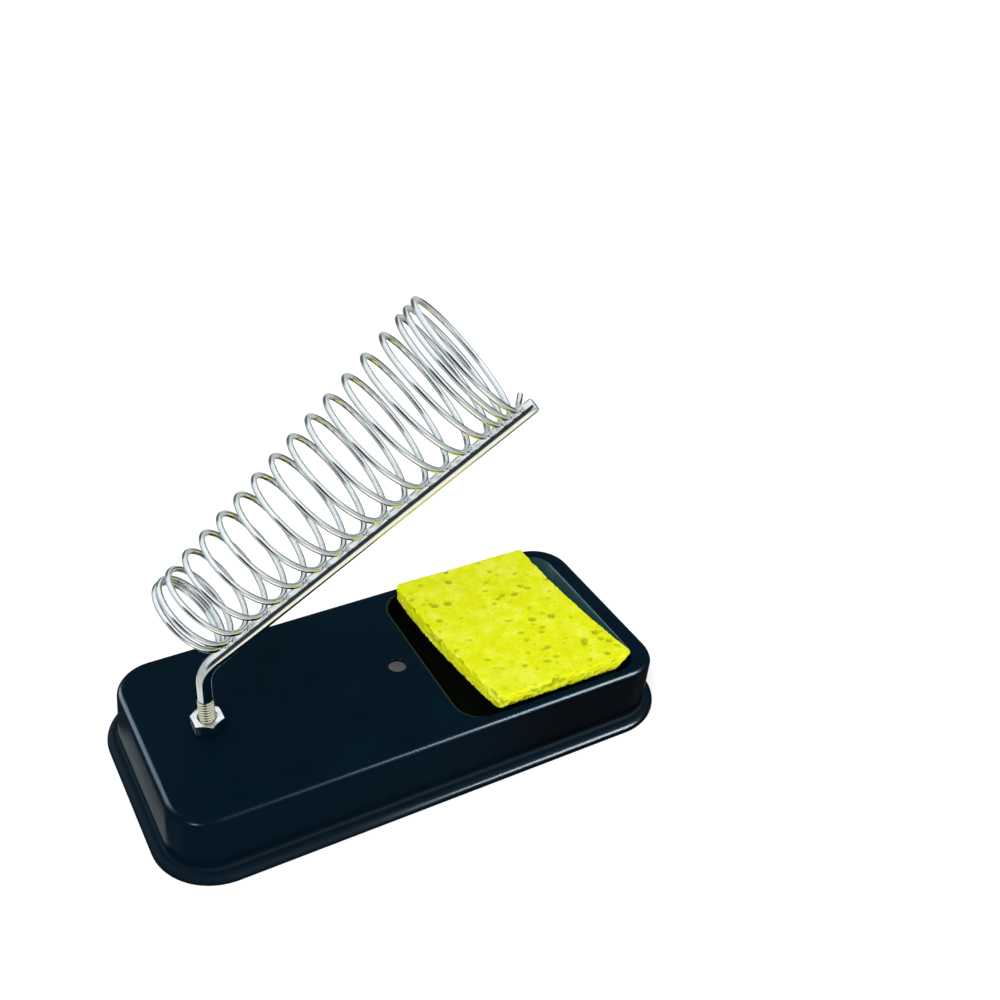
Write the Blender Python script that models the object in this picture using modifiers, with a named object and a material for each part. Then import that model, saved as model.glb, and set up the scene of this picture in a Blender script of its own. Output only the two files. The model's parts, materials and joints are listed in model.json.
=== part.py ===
"""Bench stand for a soldering iron.

A pressed steel base with a sponge tray carries a bent rod. A tapered wire coil is welded
along the rod, and the iron rests inside it. Two nuts clamp the rod to the base, so the
holder can be swivelled about the rod's upright leg.

Frame: metres, +Z up, origin on the table under the middle of the base, +X towards the sponge.
"""

import math

import bmesh
import bpy
from mathutils import Matrix, Vector

MM = 0.001
GAP = 0.3 * MM                      # running gap between pieces that touch

# Base: outlines are (half length, half width, corner radius)
SHEET = 0.8 * MM
DECK_Z = 15.95 * MM
WALL_TOP = (63.6 * MM, 28.28 * MM, 10.2 * MM)
FLANGE_RIM = (67.46 * MM, 32.68 * MM, 15.5 * MM)
DECK_FILLET = 1.8 * MM
LIP_DROP = 1.4 * MM                 # the flange rolls down over this height
LIP_ROLL = 2.0 * MM                 # and over this width
LIP_LAND = 0.35 * MM
FOOT_FILLET = 0.9 * MM
WALL_DRAFT = 0.8 * MM
CORNER_BULGE = 2.1 * MM             # the rim is pressed out a little at one front corner
BULGE_REACH = 30.0 * MM
BULGE_WAY = (0.84, -0.54)
HOLE_D = 4.5 * MM
ROD_X = -47.3 * MM
SPARE_HOLE_X = 1.9 * MM

# Sponge recess in the deck, with sloping walls
RECESS_X = 33.45 * MM
RECESS = (25.65 * MM, 26.2 * MM, 8.0 * MM)
RECESS_DEPTH = 5.0 * MM
RECESS_SLOPE = math.radians(60.0)
RECESS_RIM_FILLET = 1.0 * MM
RECESS_FLOOR_FILLET = 1.8 * MM
CORNER_STEPS = 6
FILLET_STEPS = 4

# Sponge, cut slightly out of square and wedged near the top of the recess
SPONGE_SIZE = (38.9 * MM, 49.6 * MM, 4.6 * MM)
SPONGE_XY = (34.75 * MM, -0.1 * MM)
SPONGE_BASE_Z = DECK_Z - 0.7 * MM
SPONGE_UNDERCUT = (3.4 * MM, 0.5 * MM)    # how far the right end and the long sides lean in
SPONGE_TURN = math.radians(-0.7)
SPONGE_SKEW = math.radians(6.2)
SPONGE_BEVEL = 0.8 * MM
SPONGE_BOW = 1.2 * MM               # how far its middle bends back towards the rod
SPONGE_BOW_CUTS = 7

# Rod and its thread (M4)
ROD_D = 3.4 * MM
THREAD_D = 3.8 * MM
ROD_BOTTOM_Z = 8.6 * MM
THREAD_TOP_Z = 25.3 * MM
LEG_Z = 34.05 * MM                  # where the two legs' centre lines cross
LEG_TILT = math.radians(41.13)
SWIVEL = math.radians(-14.6)
BEND_RADIUS = 9.0 * MM
LEG_LENGTH = 97.4 * MM
ROD_END_CHAMFER = 0.4 * MM
BEND_STEPS = 8

# Nuts and washers
NUT_AF = 7.0 * MM
NUT_H = 3.2 * MM
NUT_TURN = math.radians(-29.3)
NUT_BORE_D = THREAD_D + 2 * GAP
NUT_CHAMFER = math.radians(28.0)
WASHER_D = 9.0 * MM
WASHER_T = 0.8 * MM
LOCK_WASHER_D = 7.0 * MM
LOCK_WASHER_T = 0.9 * MM
LOCK_WASHER_SLOT = 0.8 * MM
LOCK_WASHER_CUT = math.radians(20.0)
ROUND_STEPS = 32

# Coil: stations are measured along the sloping leg from LEG_Z
WIRE_D = 1.4 * MM
COIL_TURNS = 18
COIL_R_TIP = 9.7 * MM
COIL_R_MOUTH = 15.53 * MM
COIL_LEAN = math.radians(16.17)     # the coil sits a little round the rod's side
COIL_SHEAR = 0.066                  # turns lean along the leg, per unit of radius
COIL_START = 7.1 * MM
CLOSE_PITCH = 1.45 * MM             # two closed turns at the tip end
STEP_PITCH = 3.2 * MM
OPEN_PITCH = 5.9 * MM
LAST_OPEN_PITCH = 5.0 * MM
MOUTH_PITCH = 2.4 * MM
MOUTH_TURNS = 2
COIL_STEPS = 20
COIL_TAIL = 0.035                   # of a turn past the last weld
TAIL_KICK = 1.2 * MM                # how far the cut end leans out along the leg


def clear_scene():
    for obj in list(bpy.data.objects):
        bpy.data.objects.remove(obj, do_unlink=True)


def new_collection(name):
    coll = bpy.data.collections.new(name)
    bpy.context.scene.collection.children.link(coll)
    return coll


def make_material(name, colour, roughness, metallic):
    mat = bpy.data.materials.new(name)
    mat.use_nodes = True
    shader = mat.node_tree.nodes["Principled BSDF"]
    shader.inputs["Base Color"].default_value = (*colour, 1.0)
    shader.inputs["Roughness"].default_value = roughness
    shader.inputs["Metallic"].default_value = metallic
    mat.diffuse_color = (*colour, 1.0)
    return mat


def add_object(name, data, coll, material=None, location=(0, 0, 0)):
    obj = bpy.data.objects.new(name, data)
    obj.location = location
    coll.objects.link(obj)
    if material:
        data.materials.append(material)
    return obj


def mesh_from(bm, name):
    bmesh.ops.recalc_face_normals(bm, faces=bm.faces)
    mesh = bpy.data.meshes.new(name)
    bm.to_mesh(mesh)
    bm.free()
    return mesh


def shade_round(mesh, angle=35.0):
    mesh.shade_smooth()
    mesh.set_sharp_from_angle(angle=math.radians(angle))


def hide_cutter(obj):
    obj.hide_render = True
    obj.display_type = "WIRE"


def add_boolean(obj, cutter, operation="DIFFERENCE"):
    mod = obj.modifiers.new(cutter.name, "BOOLEAN")
    mod.operation = operation
    mod.solver = "EXACT"
    mod.object = cutter


def cylinder_mesh(name, diameter, depth, segments=ROUND_STEPS):
    bm = bmesh.new()
    bmesh.ops.create_cone(bm, cap_ends=True, segments=segments, radius1=diameter / 2,
                          radius2=diameter / 2, depth=depth)
    return mesh_from(bm, name)


# Base tray

def blend_outline(inner, outer, t):
    return tuple(a + t * (b - a) for a, b in zip(inner, outer))


def grown_outline(outline, offset):
    return tuple(size + offset for size in outline)


def outline_points(outline, z, centre_x=0.0):
    """Points round a rounded rectangle, with the same count for every outline."""
    half_x, half_y, radius = outline
    points = []
    for quarter in range(4):
        sx = (1, -1, -1, 1)[quarter]
        sy = (1, 1, -1, -1)[quarter]
        cx = centre_x + sx * (half_x - radius)
        cy = sy * (half_y - radius)
        for step in range(CORNER_STEPS + 1):
            a = (quarter + step / CORNER_STEPS) * math.pi / 2
            points.append(bulged(cx + radius * math.cos(a), cy + radius * math.sin(a), z))
    return points


def arc_steps(end=math.pi / 2):
    return [end * i / FILLET_STEPS for i in range(FILLET_STEPS + 1)]


def bulged(x, y, z):
    """Push a point of the rim out near one front corner; the foot of the wall stays put."""
    away = math.hypot(x - WALL_TOP[0], y + WALL_TOP[1])
    share = max(0.0, 1.0 - away / BULGE_REACH)
    push = CORNER_BULGE * share * share * min(z / DECK_Z, 1.0)
    return x + push * BULGE_WAY[0], y + push * BULGE_WAY[1], z


def tray_rings():
    """Cross-section rings of the outer skin, from the flange's lip in to the recess floor."""
    flange_width = FLANGE_RIM[0] - WALL_TOP[0]
    foot = WALL_DRAFT / flange_width
    flange_z = LIP_LAND + LIP_DROP
    rings = [(FLANGE_RIM, 0.0, 0.0)]
    for a in arc_steps():
        t = 1.0 - LIP_ROLL * (1 - math.cos(a)) / flange_width
        z = LIP_LAND + LIP_DROP * math.sin(a)
        rings.append((blend_outline(WALL_TOP, FLANGE_RIM, t), z, 0.0))
    for a in arc_steps():
        t = foot + FOOT_FILLET * (1 - math.sin(a)) / flange_width
        z = flange_z + FOOT_FILLET * (1 - math.cos(a))
        rings.append((blend_outline(WALL_TOP, FLANGE_RIM, t), z, 0.0))
    for a in arc_steps():
        inset = DECK_FILLET * (1 - math.cos(a))
        z = DECK_Z - DECK_FILLET * (1 - math.sin(a))
        rings.append((grown_outline(WALL_TOP, -inset), z, 0.0))
    for a in arc_steps(RECESS_SLOPE):
        inset = RECESS_RIM_FILLET * math.sin(a)
        z = DECK_Z - RECESS_RIM_FILLET * (1 - math.cos(a))
        rings.append((grown_outline(RECESS, -inset), z, RECESS_X))
    fillets = RECESS_RIM_FILLET + RECESS_FLOOR_FILLET
    straight_drop = RECESS_DEPTH - fillets * (1 - math.cos(RECESS_SLOPE))
    floor_inset = straight_drop / math.tan(RECESS_SLOPE) + fillets * math.sin(RECESS_SLOPE)
    for a in reversed(arc_steps(RECESS_SLOPE)):
        inset = floor_inset - RECESS_FLOOR_FILLET * math.sin(a)
        z = DECK_Z - RECESS_DEPTH + RECESS_FLOOR_FILLET * (1 - math.cos(a))
        rings.append((grown_outline(RECESS, -inset), z, RECESS_X))
    return rings


def base_tray(coll, cutters, material):
    bm = bmesh.new()
    loops = []
    for outline, z, centre_x in tray_rings():
        loops.append([bm.verts.new(p) for p in outline_points(outline, z, centre_x)])
    count = len(loops[0])
    for low, high in zip(loops, loops[1:]):
        for i in range(count):
            j = (i + 1) % count
            bm.faces.new((low[i], low[j], high[j], high[i]))
    bm.faces.new(loops[-1])
    mesh = mesh_from(bm, "base_tray")
    tray = add_object("base_tray", mesh, coll, material)
    shell = tray.modifiers.new("sheet", "SOLIDIFY")
    shell.thickness = SHEET
    shell.offset = -1.0
    shell.use_even_offset = True
    for name, x in (("rod_hole", ROD_X), ("spare_hole", SPARE_HOLE_X)):
        hole = add_object(name, cylinder_mesh(name, HOLE_D, 4 * SHEET), cutters,
                          location=(x, 0, DECK_Z - SHEET / 2))
        hide_cutter(hole)
        add_boolean(tray, hole)
    shade_round(mesh)
    return tray


# Sponge

def sponge(coll, material):
    bm = bmesh.new()
    bmesh.ops.create_cube(bm, size=1.0)
    bmesh.ops.scale(bm, vec=SPONGE_SIZE, verts=bm.verts)
    long_edges = [edge for edge in bm.edges if edge.calc_length() > SPONGE_SIZE[0] + GAP]
    bmesh.ops.subdivide_edges(bm, edges=long_edges, cuts=SPONGE_BOW_CUTS)
    half_length = SPONGE_SIZE[1] / 2
    for vert in bm.verts:
        share = vert.co.y / half_length
        bow = SPONGE_BOW * (1 - share * share)
        if vert.co.z < 0:
            vert.co.x -= SPONGE_UNDERCUT[0] if vert.co.x > 0 else 0.0
            vert.co.y -= SPONGE_UNDERCUT[1] * share
        vert.co.x -= bow
    skew = Matrix.Shear("XZ", 4, (-math.tan(SPONGE_SKEW), 0.0))
    bmesh.ops.transform(bm, matrix=skew, verts=bm.verts)
    mesh = mesh_from(bm, "sponge")
    height = SPONGE_BASE_Z + SPONGE_SIZE[2] / 2
    obj = add_object("sponge", mesh, coll, material, (*SPONGE_XY, height))
    obj.rotation_euler.z = SPONGE_TURN
    edge = obj.modifiers.new("soft_edges", "BEVEL")
    edge.width = SPONGE_BEVEL
    edge.segments = 2
    return obj


# Rod and coil, modelled with the swivel axis as the holder's own origin

def leg_frame():
    """Unit vectors in the holder's frame: along the leg, out to the coil, and across it."""
    along = Vector((math.cos(LEG_TILT), 0.0, math.sin(LEG_TILT)))
    above = Vector((-math.sin(LEG_TILT), 0.0, math.cos(LEG_TILT)))
    across = above.cross(along)
    out = above * math.cos(COIL_LEAN) + across * math.sin(COIL_LEAN)
    return along, out, out.cross(along)


def rod_points():
    """Centre line of the rod with a thickness factor at each point."""
    along = leg_frame()[0]
    bend = math.pi / 2 - LEG_TILT
    tangent = BEND_RADIUS * math.tan(bend / 2)
    thick = THREAD_D / ROD_D
    chamfered = (ROD_D - 2 * ROD_END_CHAMFER) / ROD_D
    corner = Vector((0, 0, LEG_Z))
    points = [
        (Vector((0, 0, ROD_BOTTOM_Z)), chamfered),
        (Vector((0, 0, ROD_BOTTOM_Z + ROD_END_CHAMFER)), thick),
        (Vector((0, 0, THREAD_TOP_Z)), thick),
        (Vector((0, 0, THREAD_TOP_Z + ROD_END_CHAMFER)), 1.0),
    ]
    start = corner.z - tangent
    for i in range(BEND_STEPS + 1):
        a = bend * i / BEND_STEPS
        x = BEND_RADIUS * (1 - math.cos(a))
        z = start + BEND_RADIUS * math.sin(a)
        points.append((Vector((x, 0, z)), 1.0))
    end = corner + along * LEG_LENGTH
    points.append((end - along * ROD_END_CHAMFER / 2, 1.0))
    points.append((end, (ROD_D - ROD_END_CHAMFER) / ROD_D))
    return points


def wire_curve(name, points, diameter, resolution):
    curve = bpy.data.curves.new(name, "CURVE")
    curve.dimensions = "3D"
    curve.bevel_depth = diameter / 2
    curve.bevel_resolution = resolution
    curve.use_fill_caps = True
    spline = curve.splines.new("POLY")
    spline.points.add(len(points) - 1)
    for target, (place, factor) in zip(spline.points, points):
        target.co = (*place, 1.0)
        target.radius = factor
    return curve


def support_rod(coll, material, holder):
    curve = wire_curve("support_rod", rod_points(), ROD_D, 4)
    obj = add_object("support_rod", curve, coll, material)
    obj.parent = holder
    return obj


def coil_stations():
    """Distance along the leg at the top of each turn."""
    pitches = [CLOSE_PITCH, STEP_PITCH]
    open_turns = COIL_TURNS - 1 - len(pitches) - 1 - MOUTH_TURNS
    pitches += [OPEN_PITCH] * open_turns
    pitches.append(LAST_OPEN_PITCH)
    pitches += [MOUTH_PITCH] * MOUTH_TURNS
    stations = [COIL_START]
    for pitch in pitches:
        stations.append(stations[-1] + pitch)
    return stations


def station_at(stations, turn):
    """Station for a fractional turn; the end pitches carry on past both ends."""
    low = min(max(int(math.floor(turn)), 0), len(stations) - 2)
    return stations[low] + (turn - low) * (stations[low + 1] - stations[low])


def coil_point(stations, turn):
    along, out, side = leg_frame()
    station = station_at(stations, turn)
    share = (station - stations[0]) / (stations[-1] - stations[0])
    radius = COIL_R_TIP + share * (COIL_R_MOUTH - COIL_R_TIP)
    reach = ROD_D / 2 + GAP + WIRE_D / 2 + radius
    a = 2 * math.pi * turn
    place = Vector((0, 0, LEG_Z)) + along * station + out * reach
    place += out * radius * math.cos(a) - side * radius * math.sin(a)
    place += along * COIL_SHEAR * radius * (1 - math.cos(a)) / 2
    past_weld = max(turn - (COIL_TURNS - 0.5), 0.0) / COIL_TAIL
    return place + along * TAIL_KICK * past_weld


def holder_coil(coll, material, holder):
    stations = coil_stations()
    first = -0.5
    last = COIL_TURNS - 0.5 + COIL_TAIL
    count = round((last - first) * COIL_STEPS)
    turns = [first + (last - first) * i / count for i in range(count + 1)]
    points = [(coil_point(stations, turn), 1.0) for turn in turns]
    curve = wire_curve("holder_coil", points, WIRE_D, 2)
    obj = add_object("holder_coil", curve, coll, material)
    obj.parent = holder
    return obj


# Fasteners

def nut_mesh(name):
    bm = bmesh.new()
    corner_r = NUT_AF / math.sqrt(3)
    bmesh.ops.create_cone(bm, cap_ends=True, segments=6, radius1=corner_r, radius2=corner_r,
                          depth=NUT_H)
    return mesh_from(bm, name)


def chamfer_blank(name, coll, location):
    """Barrel that trims a nut's corners: its waist is wider than the corners, its ends narrower."""
    wide = NUT_AF / math.sqrt(3) + GAP
    rise = (wide - NUT_AF / 2) * math.tan(NUT_CHAMFER)
    half = NUT_H / 2 + GAP
    narrow = NUT_AF / 2 - GAP / math.tan(NUT_CHAMFER)
    profile = [(0.0, half), (narrow, half), (wide, NUT_H / 2 - rise)]
    profile += [(wide, rise - NUT_H / 2), (narrow, -half), (0.0, -half)]
    mesh = bpy.data.meshes.new(name)
    edges = [(i, i + 1) for i in range(len(profile) - 1)]
    mesh.from_pydata([(x, 0.0, z) for x, z in profile], edges, [])
    obj = add_object(name, mesh, coll, location=location)
    turn = obj.modifiers.new("turn", "SCREW")
    turn.axis = "Z"
    turn.steps = ROUND_STEPS
    turn.render_steps = ROUND_STEPS
    turn.use_merge_vertices = True
    turn.merge_threshold = 0.00001
    hide_cutter(obj)
    return obj


def hex_nut(name, middle_z, coll, cutters, material):
    place = (ROD_X, 0, middle_z)
    obj = add_object(name, nut_mesh(name), coll, material, place)
    obj.rotation_euler.z = NUT_TURN + math.pi / 6
    add_boolean(obj, chamfer_blank(name + "_blank", cutters, place), "INTERSECT")
    bore = add_object(name + "_bore", cylinder_mesh(name + "_bore", NUT_BORE_D, 2 * NUT_H),
                      cutters, location=place)
    hide_cutter(bore)
    add_boolean(obj, bore)
    return obj


def washer(name, diameter, thickness, middle_z, coll, cutters, material):
    place = (ROD_X, 0, middle_z)
    mesh = cylinder_mesh(name, diameter, thickness)
    obj = add_object(name, mesh, coll, material, place)
    bore = add_object(name + "_bore", cylinder_mesh(name + "_bore", NUT_BORE_D, 2 * NUT_H),
                      cutters, location=place)
    hide_cutter(bore)
    add_boolean(obj, bore)
    shade_round(mesh)
    return obj


def lock_washer(name, middle_z, coll, cutters, material):
    obj = washer(name, LOCK_WASHER_D, LOCK_WASHER_T, middle_z, coll, cutters, material)
    bm = bmesh.new()
    bmesh.ops.create_cube(bm, size=1.0)
    bmesh.ops.scale(bm, vec=(LOCK_WASHER_D, LOCK_WASHER_SLOT, NUT_H), verts=bm.verts)
    place = (ROD_X - LOCK_WASHER_D / 2, 0, middle_z)
    slot = add_object(name + "_slot", mesh_from(bm, name + "_slot"), cutters, location=place)
    slot.rotation_euler.x = LOCK_WASHER_CUT
    hide_cutter(slot)
    add_boolean(obj, slot)
    return obj


def fasteners(coll, cutters, material):
    hex_nut("upper_nut", DECK_Z + GAP + NUT_H / 2, coll, cutters, material)
    under = DECK_Z - SHEET - GAP
    washer("flat_washer", WASHER_D, WASHER_T, under - WASHER_T / 2, coll, cutters, material)
    under -= WASHER_T + GAP
    lock_washer("lock_washer", under - LOCK_WASHER_T / 2, coll, cutters, material)
    under -= LOCK_WASHER_T + GAP
    hex_nut("lower_nut", under - NUT_H / 2, coll, cutters, material)


def build():
    clear_scene()
    parts = new_collection("soldering_iron_stand")
    cutters = new_collection("cutters")
    paint = make_material("black_paint", (0.006, 0.012, 0.016), 0.3, 0.0)
    cellulose = make_material("yellow_sponge", (0.78, 0.83, 0.03), 0.9, 0.0)
    chrome = make_material("bright_steel", (0.72, 0.73, 0.74), 0.15, 1.0)
    zinc = make_material("zinc_plate", (0.62, 0.64, 0.66), 0.28, 1.0)
    holder = add_object("holder", None, parts, location=(ROD_X, 0, 0))
    holder.rotation_euler.z = SWIVEL
    base_tray(parts, cutters, paint)
    sponge(parts, cellulose)
    support_rod(parts, chrome, holder)
    holder_coil(parts, chrome, holder)
    fasteners(parts, cutters, zinc)
    bpy.context.view_layer.update()


build()
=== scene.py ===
"""Looks of the soldering iron stand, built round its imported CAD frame."""

import json
import math
import random

import bmesh
import bpy
import numpy as np
from mathutils import Matrix, Vector, noise


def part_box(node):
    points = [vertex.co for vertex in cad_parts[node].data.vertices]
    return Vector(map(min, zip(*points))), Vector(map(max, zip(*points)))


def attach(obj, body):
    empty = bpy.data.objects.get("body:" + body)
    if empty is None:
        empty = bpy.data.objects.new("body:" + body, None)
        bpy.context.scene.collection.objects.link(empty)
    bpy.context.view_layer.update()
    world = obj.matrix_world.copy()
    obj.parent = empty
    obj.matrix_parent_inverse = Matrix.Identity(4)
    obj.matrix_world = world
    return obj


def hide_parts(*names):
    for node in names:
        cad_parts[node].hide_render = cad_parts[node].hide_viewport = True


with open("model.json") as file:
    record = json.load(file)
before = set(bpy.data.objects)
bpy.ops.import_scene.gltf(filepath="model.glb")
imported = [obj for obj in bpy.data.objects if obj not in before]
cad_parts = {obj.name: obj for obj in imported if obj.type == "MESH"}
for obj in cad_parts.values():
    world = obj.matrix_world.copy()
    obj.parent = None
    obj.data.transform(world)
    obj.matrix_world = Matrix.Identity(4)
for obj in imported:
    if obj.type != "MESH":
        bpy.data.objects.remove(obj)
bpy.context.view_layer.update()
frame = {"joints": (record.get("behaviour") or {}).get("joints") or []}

MM = 0.001
TAU = 2 * math.pi

# Sizes read from the frame
tray_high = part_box("base_tray")[1]
DECK_Z = tray_high.z
swivel_joint = next(j for j in frame["joints"] if j["name"] == "holder_swivel")
ROD_X = swivel_joint["pos_m"][0]

# Base: outlines are (half length, half width, corner radius)
SHEET = 0.8 * MM
FLANGE_RIM = (tray_high.x, tray_high.y, 15.5 * MM)
FLANGE_WIDTH = 3.86 * MM
WALL_TOP = (FLANGE_RIM[0] - FLANGE_WIDTH, FLANGE_RIM[1] - 4.4 * MM, 10.2 * MM)
DECK_FILLET = 1.8 * MM
LIP_DROP = 1.4 * MM
LIP_ROLL = 2.0 * MM
LIP_LAND = 0.35 * MM
FOOT_FILLET = 0.9 * MM
WALL_DRAFT = 0.8 * MM
CORNER_BULGE = 2.1 * MM
BULGE_REACH = 30.0 * MM
BULGE_WAY = (0.84, -0.54)
HOLE_D = 4.5 * MM
HOLE_FLARE = 0.15 * MM
HOLE_SIDES = 64
SPARE_HOLE_X = 1.9 * MM
RECESS_X = 33.45 * MM
RECESS = (25.65 * MM, 26.2 * MM, 8.0 * MM)
RECESS_DEPTH = 5.0 * MM
RECESS_SLOPE = math.radians(60.0)
RECESS_RIM_FILLET = 1.0 * MM
RECESS_FLOOR_FILLET = 1.8 * MM
CORNER_STEPS = 20
FILLET_STEPS = 10

# Sponge
SPONGE_SIZE = (38.9 * MM, 49.6 * MM, 4.6 * MM)
SPONGE_XY = (34.75 * MM, -0.1 * MM)
SPONGE_UNDERCUT = (3.4 * MM, 0.5 * MM)
SPONGE_TURN = math.radians(-0.7)
SPONGE_SKEW = math.radians(6.2)
SPONGE_CELL = 0.34 * MM
SPONGE_BOW = 1.2 * MM
SPONGE_CORNER = 1.6 * MM
SPONGE_SEED = 7
PORE_SMALLEST = 0.3 * MM
PORE_LARGEST_TOP = 1.35 * MM
PORE_LARGEST_SIDE = 1.5 * MM
PORE_FULL_DEPTH = 1.1 * MM          # a pore this deep takes the full painted shade
PORE_RARITY = 3.2                   # a higher power makes large pores rarer
FACE_ROUGHNESS = 0.10 * MM
EDGE_NIBBLE = (0.12 * MM, 0.75 * MM)
SIDE_NIBBLE = 0.45 * MM
NIBBLE_SHARE = 0.8
TOP_WAVE = 0.15 * MM
FACE_GRAIN = 900.0                  # noise scales: a larger one gives finer detail
EDGE_GRAIN = 420.0
SIDE_GRAIN = 1150.0
WAVE_GRAIN = 60.0

# Rod, thread and coil
ROD_R = 1.7 * MM
THREAD_PITCH = 0.8 * MM
THREAD_ROOT_R = 1.52 * MM
THREAD_CREST_R = 1.95 * MM
THREAD_TOP_Z = 25.3 * MM
THREAD_END_DROP = 0.2 * MM          # how far inside the thread's root its chamfered end starts
THREAD_FLANK = 2.6                  # how steeply the ridge rises, in ridge heights per pitch
THREAD_FLAT = 0.1                   # the ridge starts this far below the root, which leaves a flat
CREST_GILT = 0.35
ROD_SIDES = 40
THREAD_STEPS = 12                   # in each pitch
BEND_STEPS = 26
LEG_STEPS = 40
ROD_END_CHAMFER = 0.25 * MM
LEG_Z = 34.05 * MM
LEG_TILT = math.radians(41.13)
SWIVEL = math.radians(-14.6)
BEND_RADIUS = 9.0 * MM
LEG_LENGTH = 97.4 * MM
WIRE_R = 0.7 * MM
COIL_TURNS = 18
COIL_R_TIP = 9.7 * MM
COIL_R_MOUTH = 15.53 * MM
COIL_LEAN = math.radians(16.17)
COIL_SHEAR = 0.066
COIL_START = 7.1 * MM
CLOSE_PITCH = 1.45 * MM
STEP_PITCH = 3.2 * MM
OPEN_PITCH = 5.9 * MM
LAST_OPEN_PITCH = 5.0 * MM
MOUTH_PITCH = 2.4 * MM
MOUTH_TURNS = 2
COIL_TAIL = 0.035
TAIL_KICK = 1.2 * MM
WIRE_SIDES = 16
WIRE_STEPS = 54                     # in each turn
WIRE_END_ROUND = 0.12 * MM
WIRE_END_SLOPE = 0.6
WELD_SINK = 0.14 * MM               # how far a weld presses the wire into the rod
WELD_HEAT_REACH = 0.06              # the share of a turn that a weld tints to each side
NUGGET_SEED = 11
NUGGET_SIZE = (0.42 * MM, 0.62 * MM, 0.3 * MM)
NUGGET_GROWTH = (0.8, 1.25)
NUGGET_OFFSET = 0.52 * MM
NUGGET_STRAY = 0.25 * MM
NUGGET_SINK = 0.1 * MM
NUGGET_LUMPS = 0.07 * MM
NUGGET_GRAIN = 2600.0
# The welds' heat tint, pushed darker as painted shade where the coil meets the rod
NUGGET_HEAT_AND_SHADE = 0.9

# Nuts and washers
NUT_AF = 7.0 * MM
NUT_TURN = math.radians(-29.3)
NUT_CHAMFER = math.radians(30)
NUT_EDGE = 0.07 * MM
BORE_CREST_R = 2.02 * MM
BORE_THREAD_DEPTH = 0.14 * MM
BORE_COUNTERSINK = 0.35 * MM
BORE_SIDES = 48
RING_STEPS = 96
WASHER_BORE_R = 2.15 * MM
WASHER_CORNER = 0.12 * MM
SPRING_GAP = math.radians(16)
SPRING_TWIST = 0.25 * MM

# Camera, floor and lights
FLOOR_SIZE = 12.0
FLOOR_DROP = 0.05 * MM
FLOOR_WHITE = (0.93, 0.93, 0.93)
FLOOR_LIFT = 0.27                   # a faint glow keeps the floor white; none under the base
ROOM_LIGHT = 0.86                   # strength of the white room as a light
SHINE_TINT = (0.76, 0.91, 1.0)
SHINE_REACH = 0.9
CAMERA_AZIMUTH = math.radians(-31.936)
CAMERA_ELEVATION = math.radians(35.465)
CAMERA_ROLL = math.radians(4.6)
CAMERA_TARGET = Vector((0.0726, 0.0709, 0.0))
CAMERA_DISTANCE = 0.4071
CAMERA_LENS = 45.43

# Looks: colours are linear red, green and blue
BLACK = (0, 0, 0)
WHITE = (1, 1, 1)
PAINT_GLOSS = 0.012                 # the paint mirrors the room faintly; its own lamps add the shine
PAINT_ROUGH = 0.20
PAINT_DARK_CLOUD = (0.0001, 0.0050, 0.0112)
PAINT_LIGHT_CLOUD = (0.0003, 0.0084, 0.0178)
# Painted shade on the walls, deeper on the right wall than on the left
PAINT_RIGHT_WALL_SHADE = (0.0007, 0.0020, 0.0044)
PAINT_LEFT_WALL_SHADE = (0.0002, 0.0056, 0.0124)
DUST = (0.10, 0.13, 0.14)
# Painted light in the recess: shade on its floor, a sheen on its far wall, the sponge's reflection on
# its rim
RECESS_FLOOR_SHADE = (0.0022, 0.0031, 0.0015)
RECESS_FAR_WALL_SHEEN = (0.0230, 0.0740, 0.0840)
RECESS_RIM_REFLECTION = (0.0220, 0.0400, 0.0190)
PAINTED_DECK_GLOW = (0.66, 0.74, 0.74)  # a painted glow on the deck beside the rod, seen only in the rod's leg's reflection
SPONGE_SHADE = (0.69, 0.74, 0.004)
SPONGE_SKIN = (0.74, 0.81, 0.010)
SPONGE_LIGHT = (0.80, 0.86, 0.06)
SPONGE_PALE = (0.82, 0.88, 0.10)
# Painted shade for the sponge's pores and hollows
SPONGE_HOLLOW_SHADE = (0.38, 0.41, 0.003)
STEEL_LIGHT = (0.88, 0.90, 0.90)
WELD_STRAW = [(0.0, WHITE), (0.45, (0.97, 0.86, 0.6)), (1.0, (0.62, 0.5, 0.4))]
# Gold tint on the thread's crests, fading to painted shade in its roots
THREAD_GILT_AND_SHADE = [(0.0, WHITE), (0.35, (0.98, 0.93, 0.74)), (1.0, (0.16, 0.14, 0.08))]


# Node helpers

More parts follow.
